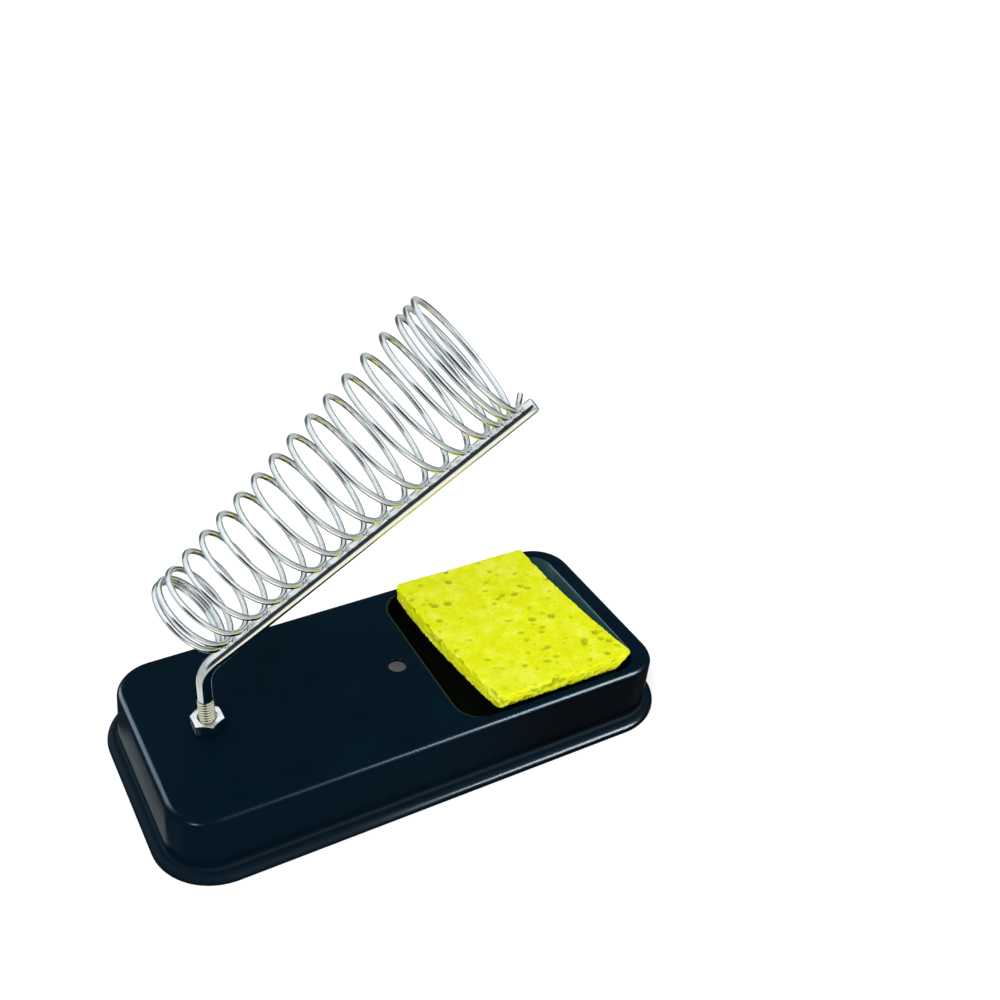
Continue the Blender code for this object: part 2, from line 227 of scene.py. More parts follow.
class Nodes:
    """A short way to add and join shader nodes."""

    def __init__(self, tree):
        self.tree = tree

    def add(self, kind, **values):
        node = self.tree.nodes.new(kind)
        for key, value in values.items():
            setattr(node, key, value)
        return node

    def link(self, source, target):
        self.tree.links.new(source, target)

    def feed(self, socket, value):
        """Join a socket to another node's output, or give it a plain value."""
        if isinstance(value, bpy.types.NodeSocket):
            self.link(value, socket)
        else:
            socket.default_value = value

    def put(self, node, **inputs):
        for key, value in inputs.items():
            self.feed(node.inputs[key.replace("_", " ")], value)
        return node

    def ramp(self, factor, stops):
        node = self.add("ShaderNodeValToRGB")
        elements = node.color_ramp.elements
        while len(elements) < len(stops):
            elements.new(0.5)
        for element, (position, colour) in zip(elements, stops):
            element.position = position
            element.color = (*colour, 1.0)
        self.link(factor, node.inputs["Fac"])
        return node.outputs["Color"]

    def mask(self, value, black_at, white_at):
        """A straight ramp from black to white."""
        return self.ramp(value, sorted([(black_at, BLACK), (white_at, WHITE)]))

    def math(self, operation, first, second=0.0, third=0.0):
        node = self.add("ShaderNodeMath", operation=operation)
        for socket, value in zip(node.inputs, (first, second, third)):
            self.feed(socket, value)
        return node.outputs["Value"]

    def times(self, first, second):
        return self.math("MULTIPLY", first, second)

    def minus(self, first, second):
        return self.math("SUBTRACT", first, second)

    def scaled(self, value, gain, base):
        """The value times the gain, added to the base."""
        return self.math("MULTIPLY_ADD", value, gain, base)

    def mix(self, factor, first, second, blend="MIX"):
        node = self.add("ShaderNodeMix", data_type="RGBA", blend_type=blend)
        self.feed(node.inputs[0], factor)
        for socket, colour in ((node.inputs[6], first), (node.inputs[7], second)):
            self.feed(socket, (*colour, 1.0) if isinstance(colour, tuple) else colour)
        return node.outputs[2]

    def split(self, vector):
        """The X, Y and Z of a vector."""
        node = self.add("ShaderNodeSeparateXYZ")
        self.link(vector, node.inputs[0])
        return [node.outputs[axis] for axis in "XYZ"]

    def span(self, value, start, end):
        """0 at the start value, 1 at the end value, and smooth between."""
        node = self.add("ShaderNodeMapRange", interpolation_type="SMOOTHSTEP")
        self.put(node, Value=value, From_Min=start, From_Max=end)
        return node.outputs["Result"]

    def noise(self, vector, scale, detail=2.0, roughness=0.5):
        node = self.add("ShaderNodeTexNoise")
        self.put(node, Vector=vector, Scale=scale, Detail=detail, Roughness=roughness)
        return node.outputs["Fac"]

    def cells(self, vector, scale):
        node = self.add("ShaderNodeTexVoronoi")
        self.put(node, Vector=vector, Scale=scale)
        return node.outputs["Distance"]

    def stretched(self, vector, scale):
        node = self.add("ShaderNodeMapping")
        self.put(node, Vector=vector, Scale=scale)
        return node.outputs["Vector"]

    def bump(self, height, distance, strength=1.0, normal=None):
        node = self.add("ShaderNodeBump")
        self.put(node, Height=height, Distance=distance, Strength=strength)
        if normal is not None:
            self.link(normal, node.inputs["Normal"])
        return node.outputs["Normal"]


def new_material(name):
    material = bpy.data.materials.new(name)
    material.use_nodes = True
    nodes = Nodes(material.node_tree)
    return material, nodes, material.node_tree.nodes["Principled BSDF"]


def object_coords(nodes):
    return nodes.add("ShaderNodeTexCoord").outputs["Object"]


def attribute(nodes, name):
    return nodes.add("ShaderNodeAttribute", attribute_name=name).outputs["Fac"]


# Materials

def recess_painted_light(nodes, spot, facing_x, base):
    """Painted light in the recess: painted shade on its floor, a painted grey sheen on the far wall,
    and a painted reflection of the sponge as a line along the rim.
    """
    x, y, z = spot
    edge = 0.3 * MM
    sheen_start = 5 * MM - RECESS[1]
    off_x = nodes.math("ABSOLUTE", nodes.minus(x, RECESS_X))
    off_y = nodes.math("ABSOLUTE", y)
    inside = nodes.times(nodes.span(off_x, RECESS[0] + edge, RECESS[0] - edge),
                         nodes.span(off_y, RECESS[1] + edge, RECESS[1] - edge))
    sunk = nodes.times(inside, nodes.span(z, DECK_Z - 0.2 * MM, DECK_Z - MM))
    # Painted shade on the sunk floor of the recess
    base = nodes.mix(sunk, base, RECESS_FLOOR_SHADE)
    far = nodes.times(nodes.span(facing_x, -0.2, -0.6), inside)
    far = nodes.times(far, nodes.span(y, sheen_start, sheen_start + 5 * MM))
    # A painted grey sheen on the far wall
    base = nodes.mix(far, base, RECESS_FAR_WALL_SHEEN)
    near = nodes.times(nodes.span(facing_x, 0.1, 0.3), inside)
    near = nodes.times(near, nodes.span(z, DECK_Z - 0.5 * MM, DECK_Z - 0.2 * MM))
    # A painted yellow-green reflection along the rim
    return nodes.mix(near, base, RECESS_RIM_REFLECTION)


def paint_colour(nodes, place, spot):
    """Blue-black with faint clouds on the deck; plain painted shade on the walls; a little dust; and
    the recess's painted shade and reflections.
    """
    geometry = nodes.add("ShaderNodeNewGeometry")
    facing_x, _, facing_z = nodes.split(geometry.outputs["Normal"])
    clouds = nodes.noise(place, 38.0, 4.0, 0.6)
    deck = nodes.ramp(clouds, [(0.32, PAINT_DARK_CLOUD), (0.68, PAINT_LIGHT_CLOUD)])
    # The walls get painted shade, deeper towards the right; the upward-facing deck keeps the lighter
    # clouds
    left = nodes.span(spot[0], 35 * MM, 0.0)
    wall = nodes.mix(left, PAINT_RIGHT_WALL_SHADE, PAINT_LEFT_WALL_SHADE)
    base = nodes.mix(nodes.mask(facing_z, 0.35, 0.98), wall, deck)
    base = recess_painted_light(nodes, spot, facing_x, base)
    specks = nodes.mask(nodes.cells(place, 160.0), 0.03, 0.012)
    patches = nodes.mask(nodes.noise(place, 60.0), 0.5, 0.62)
    dust = nodes.mix(1.0, specks, patches, "MULTIPLY")
    return nodes.mix(nodes.times(dust, 0.35), base, DUST)


def mirrored_in_metal(nodes, spot, path):
    """Where the metal pieces see shine on the deck, and a painted pale ring of glow on the deck that
    only reflection rays see, for the rod's leg to mirror.
    """
    x, y, _ = spot
    off_x = nodes.minus(x, ROD_X)
    behind = nodes.span(nodes.minus(y, off_x), -1 * MM, 2 * MM)
    reach = nodes.math("SQRT", nodes.scaled(off_x, off_x, nodes.times(y, y)))
    ring = nodes.times(nodes.span(reach, 9 * MM, 11 * MM), nodes.span(reach, 32 * MM, 26 * MM))
    return behind, nodes.times(nodes.times(ring, behind), path.outputs["Is Glossy Ray"])


def paint_material():
    """Blue-black baked enamel: slight orange peel, and a satin flange along the left and the foot."""
    material, nodes, shader = new_material("enamel")
    place = object_coords(nodes)
    spot = nodes.split(place)
    x, _, z = spot
    path = nodes.add("ShaderNodeLightPath")
    behind, glow = mirrored_in_metal(nodes, spot, path)
    # A painted glow on the deck that only reflection rays see
    colour = nodes.mix(glow, paint_colour(nodes, place, spot), PAINTED_DECK_GLOW)
    low = nodes.span(z, 3.6 * MM, 2.6 * MM)
    beside = nodes.span(x, 10 * MM, -30 * MM)
    foot = nodes.span(z, 1.4 * MM, 1.9 * MM)
    satin = nodes.times(low, nodes.math("MAXIMUM", beside, foot))
    rough = nodes.scaled(nodes.noise(place, 90.0, 4.0), 0.08, PAINT_ROUGH)
    rough = nodes.scaled(low, -0.03, rough)
    rough = nodes.scaled(satin, 0.44, rough)
    gloss = nodes.scaled(satin, -0.6 * PAINT_GLOSS, PAINT_GLOSS)
    gloss = nodes.times(gloss, nodes.math("MAXIMUM", path.outputs["Is Camera Ray"], behind))
    peel = nodes.bump(nodes.noise(place, 900.0, 2.0), 0.005 * MM, 0.05)
    wave = nodes.bump(nodes.noise(place, 28.0, 1.0), 0.2 * MM, 0.05, peel)
    nodes.put(shader, Base_Color=colour, Roughness=rough, Normal=wave, Specular_IOR_Level=gloss)
    return material


def metal_material(name, colour, dull, rough, streak_scale, tint_name="heat", stops=WELD_STRAW):
    """Bright plated steel with fine drawing lines along the piece's length."""
    material, nodes, shader = new_material(name)
    wrap = nodes.add("ShaderNodeUVMap", uv_map="wrap").outputs["UV"]
    lines = nodes.noise(nodes.stretched(wrap, streak_scale), 1.0, 3.0, 0.6)
    place = object_coords(nodes)
    tone = nodes.ramp(nodes.noise(place, 420.0, 4.0, 0.6), [(0.35, dull), (0.65, colour)])
    # The tint attribute carries the welds' heat tint, or on the thread a crest gilt with painted shade
    # in the roots
    tone = nodes.mix(1.0, tone, nodes.ramp(attribute(nodes, tint_name), stops), "MULTIPLY")
    scratch = nodes.bump(lines, 0.01 * MM, 0.4)
    pits = nodes.bump(nodes.noise(place, 2600.0, 3.0), 0.003 * MM, 0.15, scratch)
    roughness = nodes.scaled(lines, 0.12, rough)
    nodes.put(shader, Base_Color=tone, Metallic=1.0, Roughness=roughness, Normal=pits)
    return material


def sponge_material():
    """Cellulose sponge: bright yellow skin, a deeper green-yellow painted shade in the pores and the
    grain's hollows, matte fibre grain.
    """
    material, nodes, shader = new_material("cellulose")
    place = object_coords(nodes)
    mottle = nodes.noise(place, 260.0, 4.0, 0.6)
    skin = nodes.ramp(mottle, [(0.32, SPONGE_SHADE), (0.52, SPONGE_SKIN), (0.72, SPONGE_LIGHT)])
    pale = nodes.mask(nodes.noise(place, 130.0, 3.0), 0.50, 0.68)
    skin = nodes.mix(nodes.times(pale, 0.35), skin, SPONGE_PALE)
    # Painted shade: darker the deeper in a pore, and in the hollows between the raised fibre cells
    pore = nodes.math("MINIMUM", nodes.times(attribute(nodes, "pore"), 1.3), 0.72)
    colour = nodes.mix(pore, skin, SPONGE_HOLLOW_SHADE)
    fine = nodes.cells(nodes.stretched(place, (1.0, 1.35, 1.6)), 1300.0)
    raised = nodes.mask(fine, 0.1, 0.42)
    colour = nodes.mix(nodes.times(nodes.minus(1.0, raised), 0.16), colour, SPONGE_HOLLOW_SHADE)
    grain = nodes.bump(nodes.noise(place, 4200.0, 3.0, 0.7), 0.12 * MM, 0.5)
    bump = nodes.bump(raised, 0.18 * MM, 0.45, grain)
    nodes.put(shader, Base_Color=colour, Roughness=0.95, Normal=bump, Specular_IOR_Level=0.12)
    nodes.put(shader, Subsurface_Weight=0.2, Subsurface_Radius=(1.0, 0.9, 0.1))
    nodes.put(shader, Subsurface_Scale=MM)
    return material


def floor_material():
    """White bench top that is clear from below, so that the stand's underside can be seen."""
    material, nodes, shader = new_material("studio_floor")
    x, y, _ = nodes.split(object_coords(nodes))
    beyond = []
    for offset, half in ((x, WALL_TOP[0]), (y, WALL_TOP[1])):
        beyond.append(nodes.span(nodes.math("ABSOLUTE", offset), half - FLANGE_WIDTH, half))
    lift = nodes.times(nodes.math("MAXIMUM", *beyond), FLOOR_LIFT)
    nodes.put(shader, Base_Color=(*FLOOR_WHITE, 1.0), Roughness=0.75, Specular_IOR_Level=0.1)
    nodes.put(shader, Emission_Color=(*WHITE, 1.0), Emission_Strength=lift)
    side = nodes.add("ShaderNodeNewGeometry")
    clear = nodes.add("ShaderNodeBsdfTransparent")
    one_sided = nodes.add("ShaderNodeMixShader")
    sources = (side.outputs["Backfacing"], shader.outputs[0], clear.outputs[0])
    for source, socket in zip(sources, one_sided.inputs):
        nodes.link(source, socket)
    output = nodes.tree.get_output_node("CYCLES")
    nodes.link(one_sided.outputs[0], output.inputs["Surface"])
    return material


# Mesh helpers

def add_piece(name, mesh, material, slot, body, *stands_for):
    piece = bpy.data.objects.new(name, mesh)
    bpy.context.scene.collection.objects.link(piece)
    piece.data.materials.append(material)
    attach(piece, body)
    if stands_for:
        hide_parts(*stands_for)
    return piece


def mesh_from(bm, name):
    """A mesh made from the bmesh, which is freed."""
    mesh = bpy.data.meshes.new(name)
    bm.to_mesh(mesh)
    bm.free()
    return mesh


def set_point_attribute(mesh, name, values):
    layer = mesh.attributes.new(name, "FLOAT", "POINT")
    layer.data.foreach_set("value", np.asarray(values, np.float32))


def smooth(mesh, angle=40.0):
    mesh.shade_smooth()
    mesh.set_sharp_from_angle(angle=math.radians(angle))


def baked(obj):
    """The object's mesh with its modifiers applied; the object and its old mesh are removed."""
    depsgraph = bpy.context.evaluated_depsgraph_get()
    mesh = bpy.data.meshes.new_from_object(obj.evaluated_get(depsgraph))
    bpy.data.objects.remove(obj, do_unlink=True)
    return mesh


def scratch_object(name, mesh, location=(0, 0, 0)):
    obj = bpy.data.objects.new(name, mesh)
    obj.location = location
    bpy.context.scene.collection.objects.link(obj)
    return obj


def loft_mesh(name, rings, lengths):
    """Skin over an array of rings (count, sides, 3), with flat ends.

    Its wrap map holds each point's turn and its length along the path.
    """
    count, sides = rings.shape[:2]
    bm = bmesh.new()
    uv = bm.loops.layers.uv.new("wrap")
    grid = [[bm.verts.new(p) for p in ring] for ring in rings]
    for i in range(count - 1):
        for j in range(sides):
            k = (j + 1) % sides
            face = bm.faces.new((grid[i][j], grid[i][k], grid[i + 1][k], grid[i + 1][j]))
            turn = (j / sides, (j + 1) / sides, (j + 1) / sides, j / sides)
            along = (lengths[i], lengths[i], lengths[i + 1], lengths[i + 1])
            for loop, u, v in zip(face.loops, turn, along):
                loop[uv].uv = (u, v)
    bm.faces.new(list(reversed(grid[0])))
    bm.faces.new(grid[-1])
    bmesh.ops.recalc_face_normals(bm, faces=bm.faces)
    return mesh_from(bm, name)


def swept_rings(path, radius_at, sides, up):
    """Rings round a path; radius_at(length, angle) gives each point's distance from it."""
    path = np.array(path)
    tangents = np.gradient(path, axis=0)
    tangents /= np.linalg.norm(tangents, axis=1)[:, None]
    lengths = np.concatenate([[0], np.cumsum(np.linalg.norm(np.diff(path, axis=0), axis=1))])
    angles = np.arange(sides) * TAU / sides
    normal = np.array(up, float)
    rings = np.zeros((len(path), sides, 3))
    for i, (place, tangent) in enumerate(zip(path, tangents)):
        normal = normal - tangent * (normal @ tangent)
        normal /= np.linalg.norm(normal)
        side = np.cross(tangent, normal)
        radii = np.array([radius_at(lengths[i], a) for a in angles])
        offsets = np.outer(np.cos(angles), normal) + np.outer(np.sin(angles), side)
        rings[i] = place + offsets * radii[:, None]
    return rings, lengths


# Base tray

def blend_outline(inner, outer, t):
    return tuple(a + t * (b - a) for a, b in zip(inner, outer))


def grown_outline(outline, offset):
    return tuple(size + offset for size in outline)


def outline_points(outline, z, centre_x=0.0):
    """A rounded rectangle, anticlockwise from its +X side."""
    half_x, half_y, radius = outline
    points = []
    for quarter in range(4):
        sx = (1, -1, -1, 1)[quarter]
        sy = (1, 1, -1, -1)[quarter]
        cx = centre_x + sx * (half_x - radius)
        cy = sy * (half_y - radius)
        for step in range(CORNER_STEPS + 1):
            a = (quarter + step / CORNER_STEPS) * math.pi / 2
            points.append(bulged(cx + radius * math.cos(a), cy + radius * math.sin(a), z))
    return points


def arc_steps(end=math.pi / 2):
    return [end * i / FILLET_STEPS for i in range(FILLET_STEPS + 1)]


def bulged(x, y, z):
    """Push a point of the rim out near one front corner; the foot of the wall stays put."""
    away = math.hypot(x - WALL_TOP[0], y + WALL_TOP[1])
    share = max(0.0, 1.0 - away / BULGE_REACH)
    push = CORNER_BULGE * share * share * min(z / DECK_Z, 1.0)
    return x + push * BULGE_WAY[0], y + push * BULGE_WAY[1], z


def tray_rings():
    """Outline, height and middle of each ring, from the flange's rim to the recess floor."""
    foot = WALL_DRAFT / FLANGE_WIDTH
    flange_z = LIP_LAND + LIP_DROP
    rings = [(FLANGE_RIM, 0.0, 0.0)]
    for a in arc_steps():
        t = 1.0 - LIP_ROLL * (1 - math.cos(a)) / FLANGE_WIDTH
        z = LIP_LAND + LIP_DROP * math.sin(a)
        rings.append((blend_outline(WALL_TOP, FLANGE_RIM, t), z, 0.0))
    for a in arc_steps():
        t = foot + FOOT_FILLET * (1 - math.sin(a)) / FLANGE_WIDTH
        z = flange_z + FOOT_FILLET * (1 - math.cos(a))
        rings.append((blend_outline(WALL_TOP, FLANGE_RIM, t), z, 0.0))
    for a in arc_steps():
        inset = DECK_FILLET * (1 - math.cos(a))
        z = DECK_Z - DECK_FILLET * (1 - math.sin(a))
        rings.append((grown_outline(WALL_TOP, -inset), z, 0.0))
    for a in arc_steps(RECESS_SLOPE):
        inset = RECESS_RIM_FILLET * math.sin(a)
        z = DECK_Z - RECESS_RIM_FILLET * (1 - math.cos(a))
        rings.append((grown_outline(RECESS, -inset), z, RECESS_X))
    fillets = RECESS_RIM_FILLET + RECESS_FLOOR_FILLET
    straight_drop = RECESS_DEPTH - fillets * (1 - math.cos(RECESS_SLOPE))
    floor_inset = straight_drop / math.tan(RECESS_SLOPE) + fillets * math.sin(RECESS_SLOPE)
    for a in reversed(arc_steps(RECESS_SLOPE)):
        inset = floor_inset - RECESS_FLOOR_FILLET * math.sin(a)
        z = DECK_Z - RECESS_DEPTH + RECESS_FLOOR_FILLET * (1 - math.cos(a))
        rings.append((grown_outline(RECESS, -inset), z, RECESS_X))
    return rings


def tray_skin():
    bm = bmesh.new()
    loops = []
    for outline, z, centre_x in tray_rings():
        loops.append([bm.verts.new(p) for p in outline_points(outline, z, centre_x)])
    count = len(loops[0])
    for low, high in zip(loops, loops[1:]):
        for i in range(count):
            j = (i + 1) % count
            bm.faces.new((low[i], low[j], high[j], high[i]))
    bm.faces.new(loops[-1])
    bmesh.ops.recalc_face_normals(bm, faces=bm.faces)
    return mesh_from(bm, "tray_skin")


def hole_cutter(x):
    """A hole with a slightly flared top edge, as a profile turned about its axis."""
    r = HOLE_D / 2
    flared = r + HOLE_FLARE
    past = 3 * SHEET
    profile = [(0.0, past), (flared, past), (flared, HOLE_FLARE * 0.2)]
    profile += [(r, -HOLE_FLARE), (r, -past), (0.0, -past)]
    return turned("hole_cutter", profile, HOLE_SIDES, (x, 0, DECK_Z))


def turned(name, profile, steps, location):
    mesh = bpy.data.meshes.new(name)
    edges = [(i, i + 1) for i in range(len(profile) - 1)]
    mesh.from_pydata([(x, 0.0, z) for x, z in profile], edges, [])
    obj = scratch_object(name, mesh, location)
    spin = obj.modifiers.new("spin", "SCREW")
    spin.axis = "Z"
    spin.steps = steps
    spin.render_steps = steps
    spin.use_merge_vertices = True
    spin.merge_threshold = 0.000001
    return obj


def cut(obj, cutter, operation="DIFFERENCE"):
    mod = obj.modifiers.new("cut", "BOOLEAN")
    mod.operation = operation
    mod.solver = "EXACT"
    mod.object = cutter


def base_tray(material):
    tray = scratch_object("tray", tray_skin())
    shell = tray.modifiers.new("sheet", "SOLIDIFY")
    shell.thickness = SHEET
    shell.offset = -1.0
    shell.use_even_offset = True
    cutters = [hole_cutter(ROD_X), hole_cutter(SPARE_HOLE_X)]
    for cutter in cutters:
        cut(tray, cutter)
    bpy.context.view_layer.update()
    mesh = baked(tray)
    for cutter in cutters:
        bpy.data.objects.remove(cutter, do_unlink=True)
    smooth(mesh)
    piece = add_piece("painted_base", mesh, material, "black_paint", "base", "base_tray")
    even = piece.modifiers.new("even_shading", "WEIGHTED_NORMAL")
    even.keep_sharp = True
    even.weight = 100
    return piece


# Sponge

def sponge_block():
    """A closed block of small cells about the origin, cut square."""
    bm = bmesh.new()
    bmesh.ops.create_cube(bm, size=1.0)
    bmesh.ops.scale(bm, vec=SPONGE_SIZE, verts=bm.verts)
    for axis in range(3):
        size = SPONGE_SIZE[axis]
        count = round(size / SPONGE_CELL)
        normal = Vector((0, 0, 0))
        normal[axis] = 1.0
        for i in range(1, count):
            place = Vector((0, 0, 0))
            place[axis] = -size / 2 + size * i / count
            geometry = bm.verts[:] + bm.edges[:] + bm.faces[:]
            bmesh.ops.bisect_plane(bm, geom=geometry, dist=1e-7, plane_co=place, plane_no=normal)
    return mesh_from(bm, "sponge_block")


def pore_depths(flat, count, rng, span, sizes, depth_share):
    """Depth of round-bottomed oval pores at each flat point."""
    depth = np.zeros(len(flat))
    for _ in range(count):
        centre = np.array([rng.uniform(-span[0], span[0]), rng.uniform(-span[1], span[1])])
        long_r = sizes[0] + (sizes[1] - sizes[0]) * rng.random() ** PORE_RARITY
        short_r = long_r * rng.uniform(0.5, 0.9)
        a = rng.uniform(-0.5, 0.5)
        offset = flat - centre
        u = (offset[:, 0] * math.cos(a) + offset[:, 1] * math.sin(a)) / long_r
        v = (offset[:, 1] * math.cos(a) - offset[:, 0] * math.sin(a)) / short_r
        share = np.clip(1 - (u * u + v * v), 0, 1) ** 0.5
        depth = np.maximum(depth, share * short_r * depth_share)
    return depth


def wobble(points, scale, seed):
    """Smooth noise at each point; the seed picks another part of the noise."""
    shift = Vector((seed * 7.1, seed * 3.3, seed * 1.7))
    return np.array([noise.noise(Vector(p) * scale + shift) for p in points])


def pitted(co, near, half):
    """How far pores push each surface point in, and how deep in a pore each point is, from 0 to 1."""
    rng = random.Random(SPONGE_SEED)
    move = np.zeros_like(co)
    pore = np.zeros(len(co))
    top_sizes = (PORE_SMALLEST, PORE_LARGEST_TOP)
    side_sizes = (PORE_SMALLEST, PORE_LARGEST_SIDE)
    layouts = (
        (2, (0, 1), 190, 0.85, top_sizes),
        (0, (1, 2), 90, 1.0, side_sizes),
        (1, (0, 2), 80, 1.1, side_sizes),
    )
    for axis, plane, count, depth_share, sizes in layouts:
        for side in (-1, 1):
            on_face = near[:, axis] & (np.sign(co[:, axis]) == side)
            flat = co[on_face][:, plane]
            depth = pore_depths(flat, count, rng, half[list(plane)], sizes, depth_share)
            depth += FACE_ROUGHNESS * np.abs(wobble(co[on_face], FACE_GRAIN, axis + side))
            move[on_face, axis] -= side * depth
            pore[on_face] = np.maximum(pore[on_face], np.clip(depth / PORE_FULL_DEPTH, 0, 1))
    return move, pore


def nibbled(co, near):
    """How far the torn edges and sides draw each surface point in."""
    edges = near.sum(axis=1) >= 2
    sides = near[:, :2].any(axis=1)
    even, ragged = EDGE_NIBBLE
    coarse = np.clip(wobble(co, EDGE_GRAIN, 5), 0, 1)
    fine = np.clip(wobble(co, SIDE_GRAIN, 9), 0, 1)
    nibble = np.where(edges, even + ragged * coarse, 0.0)
    nibble += np.where(sides, SIDE_NIBBLE * fine, 0.0)
    return -np.sign(co) * near * nibble[:, None] * NIBBLE_SHARE


def rounded(co, half):
    """How far the upright corners are drawn in."""
    into = np.clip(np.abs(co[:, :2]) - (half[:2] - SPONGE_CORNER), 0, None)
    reach = np.linalg.norm(into, axis=1)
    scale = np.where(reach > 0, into.max(axis=1) / np.maximum(reach, 1e-9), 1.0)
    move = np.zeros_like(co)
    move[:, :2] = -np.sign(co[:, :2]) * into * (1 - scale)[:, None]
    return move


def leaning(co, half):
    """The undercut of the torn sides, the bow of the ends and the slow wave of the whole pad."""
    drop = (half[2] - co[:, 2]) / SPONGE_SIZE[2]
    lean = np.zeros_like(co)
    lean[:, 0] = -SPONGE_UNDERCUT[0] * drop * (co[:, 0] + half[0]) / SPONGE_SIZE[0]
    lean[:, 1] = -SPONGE_UNDERCUT[1] * drop * co[:, 1] / half[1]
    lean[:, 0] -= SPONGE_BOW * (1 - (co[:, 1] / half[1]) ** 2)
    lean[:, 2] = TOP_WAVE * wobble(co * [1, 1, 0], WAVE_GRAIN, 2)
    return lean


def sponge(material):
    mesh = sponge_block()
    co = np.array([v.co for v in mesh.vertices])
    half = np.array(SPONGE_SIZE) / 2
    near = np.abs(np.abs(co) - half) < 1e-6
    pits, pore = pitted(co, near, half)
    co = co + pits + nibbled(co, near) + rounded(co, half) + leaning(co, half)
    co[:, 0] -= co[:, 1] * math.tan(SPONGE_SKEW)
    mesh.vertices.foreach_set("co", co.astype(np.float32).ravel())
    set_point_attribute(mesh, "pore", pore)
    mesh.shade_smooth()
    low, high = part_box("sponge")
    middle = Vector((*SPONGE_XY, (low.z + high.z) / 2))
    mesh.transform(Matrix.Translation(middle) @ Matrix.Rotation(SPONGE_TURN, 4, "Z"))
    add_piece("cellulose_sponge", mesh, material, "yellow_sponge", "sponge", "sponge")


# Rod and coil

HOLDER_TURN = Matrix.Rotation(SWIVEL, 4, "Z")
HOLDER_PLACE = Matrix.Translation((ROD_X, 0, 0)) @ HOLDER_TURN
LEG_ALONG = np.array([math.cos(LEG_TILT), 0.0, math.sin(LEG_TILT)])
LEG_ABOVE = np.array([-math.sin(LEG_TILT), 0.0, math.cos(LEG_TILT)])
LEG_ACROSS = np.cross(LEG_ABOVE, LEG_ALONG)
COIL_OUT = LEG_ABOVE * math.cos(COIL_LEAN) + LEG_ACROSS * math.sin(COIL_LEAN)
COIL_SIDE = np.cross(COIL_OUT, LEG_ALONG)
LEG_START = np.array([0.0, 0.0, LEG_Z])


def rod_path(bottom_z):
    """The rod's centre line: fine steps on the thread, then the bend and the sloping leg."""
    bend = math.pi / 2 - LEG_TILT
    tangent = BEND_RADIUS * math.tan(bend / 2)
    start = LEG_Z - tangent
    fine = np.arange(bottom_z, THREAD_TOP_Z + THREAD_PITCH, THREAD_PITCH / THREAD_STEPS)
    plain = np.linspace(THREAD_TOP_Z + 1.5 * THREAD_PITCH, start, 6)
    path = [(0.0, 0.0, z) for z in np.concatenate([fine, plain])]
    for a in np.linspace(0, bend, BEND_STEPS)[1:]:
        path.append((BEND_RADIUS * (1 - math.cos(a)), 0.0, start + BEND_RADIUS * math.sin(a)))
    for s in np.linspace(tangent, LEG_LENGTH, LEG_STEPS)[1:]:
        path.append(tuple(LEG_START + LEG_ALONG * s))
    return path


def thread_radius(length, angle, bottom_z):
    """Rolled thread on the upright leg, with a short run-out and a chamfered end."""
    z = bottom_z + length
    phase = (z / THREAD_PITCH - angle / TAU) % 1.0
    ridge = min(max(THREAD_FLANK * abs(phase - 0.5) - THREAD_FLAT, 0.0), 1.0)
    full = THREAD_ROOT_R + ridge * (THREAD_CREST_R - THREAD_ROOT_R)
    fade = min(max((z - THREAD_TOP_Z) / THREAD_PITCH + 1.0, 0.0), 1.0)
    radius = full + fade * (ROD_R - full)
    return min(radius, THREAD_ROOT_R - THREAD_END_DROP + length)


def support_rod(material):
    bottom_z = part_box("support_rod")[0].z
    path = rod_path(bottom_z)
    total = sum(math.dist(a, b) for a, b in zip(path, path[1:]))

    def radius_at(length, angle):
        z = bottom_z + length
        if z < THREAD_TOP_Z + THREAD_PITCH:
            return thread_radius(length, angle, bottom_z)
        return ROD_R - max(0.0, ROD_END_CHAMFER - (total - length))

    near_end = [tuple(np.array(path[-1]) - LEG_ALONG * d * MM) for d in (0.3, 0.2, 0.1)]
    path = path[:-1] + near_end + [path[-1]]
    rings, lengths = swept_rings(path, radius_at, ROD_SIDES, (1.0, 0.0, 0.0))
    mesh = loft_mesh("rod", rings, lengths)
    co = np.array([v.co for v in mesh.vertices])
    radial = np.hypot(co[:, 0], co[:, 1])
    on_thread = co[:, 2] < THREAD_TOP_Z
    # Gilt on the crests and painted shade deeper in the thread's roots
    depth = np.clip((THREAD_CREST_R - radial) / (THREAD_CREST_R - THREAD_ROOT_R), 0, 1)
    crest_gilt_root_shade = CREST_GILT + (1 - CREST_GILT) * depth
    set_point_attribute(mesh, "crest_gilt_root_shade", np.where(on_thread, crest_gilt_root_shade, 0.0))
    mesh.transform(HOLDER_PLACE)
    smooth(mesh, 60.0)
    add_piece("bent_rod", mesh, material, "bright_rod", "holder", "support_rod")


def coil_stations():
    """How far along the leg each turn's top lies."""
    pitches = [CLOSE_PITCH, STEP_PITCH]
    open_turns = COIL_TURNS - 2 - len(pitches) - MOUTH_TURNS
    pitches += [OPEN_PITCH] * open_turns
    pitches.append(LAST_OPEN_PITCH)
    pitches += [MOUTH_PITCH] * MOUTH_TURNS
    return np.concatenate([[COIL_START], COIL_START + np.cumsum(pitches)])


